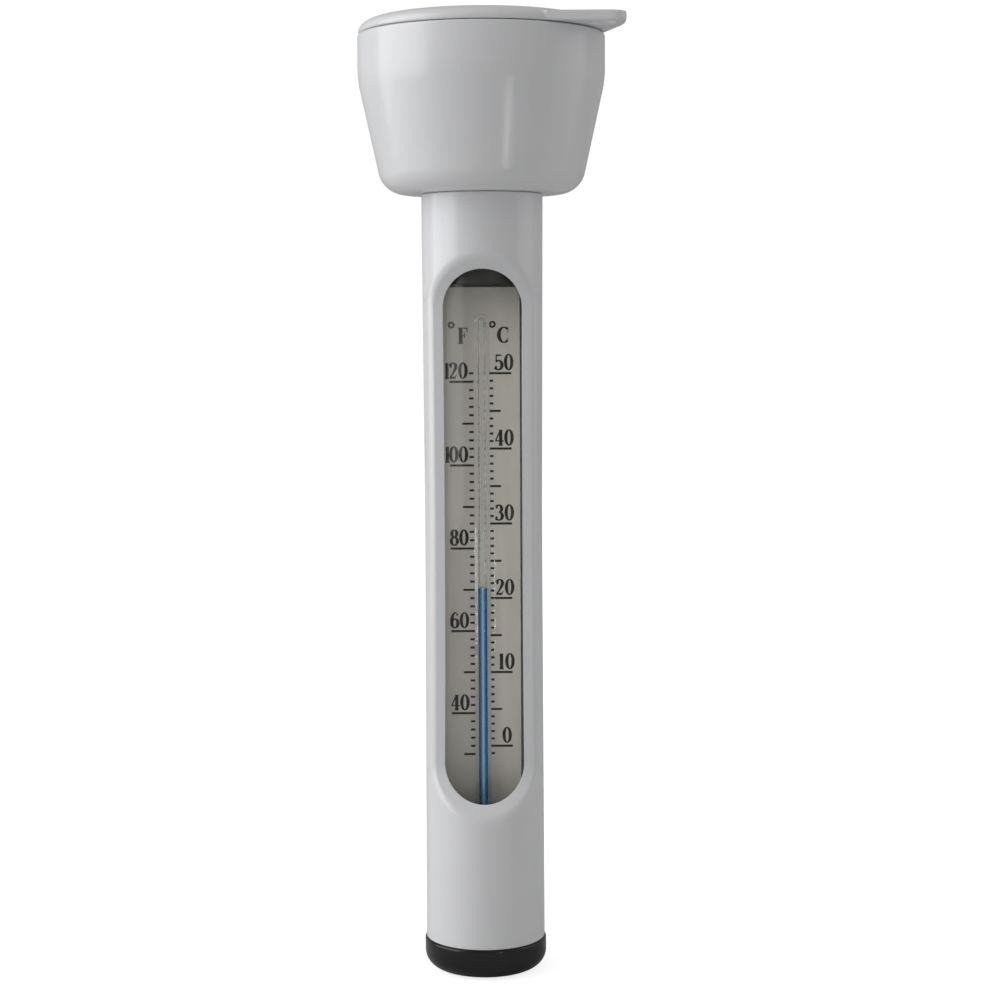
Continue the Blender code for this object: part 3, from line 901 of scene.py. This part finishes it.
emptySelection()
bpy.ops.mesh.primitive_plane_add(size=6, location=(0, 0, -0.2 * mm))
floor = named(bpy.context.object, "floor")
floorLook = {"colours": ("#CFCFCF", "#D6D6D6"), "fleck": 12 * mm, "roughness": 0.9, "glow": 0.8}


def makeFloorPaint(look):
    # Matt emulsion, rolled: a pale floor with faint flecks, lifted to the backdrop's white where it is seen
    material, tree, shader = newMaterial("rolledPaint")
    place = addNode(tree, "ShaderNodeTexCoord").outputs["Object"]
    flecks = addNode(
        tree, "ShaderNodeTexNoise", {"Scale": 1 / look["fleck"], "Detail": 3.0}, {"Vector": place})
    darker, paler = map(linearColour, look["colours"])
    tone = addNode(
        tree, "ShaderNodeMix", {"data_type": "RGBA", 6: darker, 7: paler}, {"Factor": flecks.outputs["Fac"]})
    tree.links.new(tone.outputs[2], shader.inputs["Base Color"])
    shader.inputs["Roughness"].default_value = look["roughness"]
    shader.inputs["Specular IOR Level"].default_value = 0
    rays = addNode(tree, "ShaderNodeLightPath")
    glow = addNode(tree, "ShaderNodeEmission", {"Strength": look["glow"]})
    lit = addNode(
        tree, "ShaderNodeAddShader", None, {0: shader.outputs["BSDF"], 1: glow.outputs["Emission"]})
    seen = addNode(
        tree, "ShaderNodeMixShader", None,
        {0: rays.outputs["Is Camera Ray"], 1: shader.outputs["BSDF"], 2: lit.outputs["Shader"]},
    )
    tree.links.new(seen.outputs["Shader"], tree.nodes["Material Output"].inputs["Surface"])
    return material


floor.data.materials.append(makeFloorPaint(floorLook))

studio = {"white": "#FFFFFF", "fill": 0.335, "backdrop": 1.0}  # the fill's strength, and the backdrop's
world = bpy.data.worlds.new("studio")
bpy.context.scene.world = world
world.use_nodes = True
sky = world.node_tree
fill = sky.nodes["Background"]
fill.inputs["Color"].default_value = linearColour(studio["white"])
fill.inputs["Strength"].default_value = studio["fill"]
backdrop = addNode(
    sky, "ShaderNodeBackground", {"Color": linearColour(studio["white"]), "Strength": studio["backdrop"]})
skyRays = addNode(sky, "ShaderNodeLightPath")
shownSky = addNode(
    sky, "ShaderNodeMixShader", None,
    {0: skyRays.outputs["Is Camera Ray"], 1: fill.outputs["Background"], 2: backdrop.outputs["Background"]},
)
sky.links.new(shownSky.outputs["Shader"], sky.nodes["World Output"].inputs["Surface"])

lamps = {  # degrees round from the camera, distance, foot and top height, width, radiance
    "leftBox": (-79, 0.9, 0.0, 1.5, 1.0, 2.1),
    "rightBox": (92, 0.9, 0.0, 1.5, 0.6, 0.5),
    "leftStrip": (-68, 0.8, 0.0, 1.2, 0.012, 3.0),
    "lowStrip": (26.5, 0.4, 0.004, 0.05, 0.008, 32.0),
}


def addLamp(name, turn, distance, foot, top, width, radiance):
    emptySelection()
    turn = math.radians(turn)
    place = Vector((distance * math.sin(turn), -distance * math.cos(turn), (foot + top) / 2))
    bpy.ops.object.light_add(type="AREA", location=place)
    lamp = named(bpy.context.object, name)
    lamp.visible_camera = False
    lamp.data.shape = "RECTANGLE"
    lamp.data.size, lamp.data.size_y = width, top - foot
    lamp.data.energy = radiance * math.pi * width * (top - foot)
    lamp.rotation_euler = (Vector((0, 0, place.z)) - place).to_track_quat("-Z", "Y").to_euler()


for lampName, facts in lamps.items():
    addLamp(lampName, *facts)

view = {"distance": 425.3 * mm, "aside": 1.7 * mm, "height": 131.5 * mm, "tilt": 0.0821, "roll": -0.005,
        "focal": 2130.08}
imageSide = 984
emptySelection()
bpy.ops.object.camera_add(location=(view["aside"], -view["distance"], view["height"]))
camera = bpy.context.object
camera.rotation_euler = (
    Matrix.Rotation(math.pi / 2 - view["tilt"], 3, "X") @ Matrix.Rotation(view["roll"], 3, "Z")
).to_euler()
camera.data.sensor_width = 36
camera.data.lens = view["focal"] / imageSide * camera.data.sensor_width
camera.data.clip_start = 0.01
bpy.context.scene.camera = camera
bpy.context.scene.view_settings.view_transform = "Standard"
print("camera and lights set")
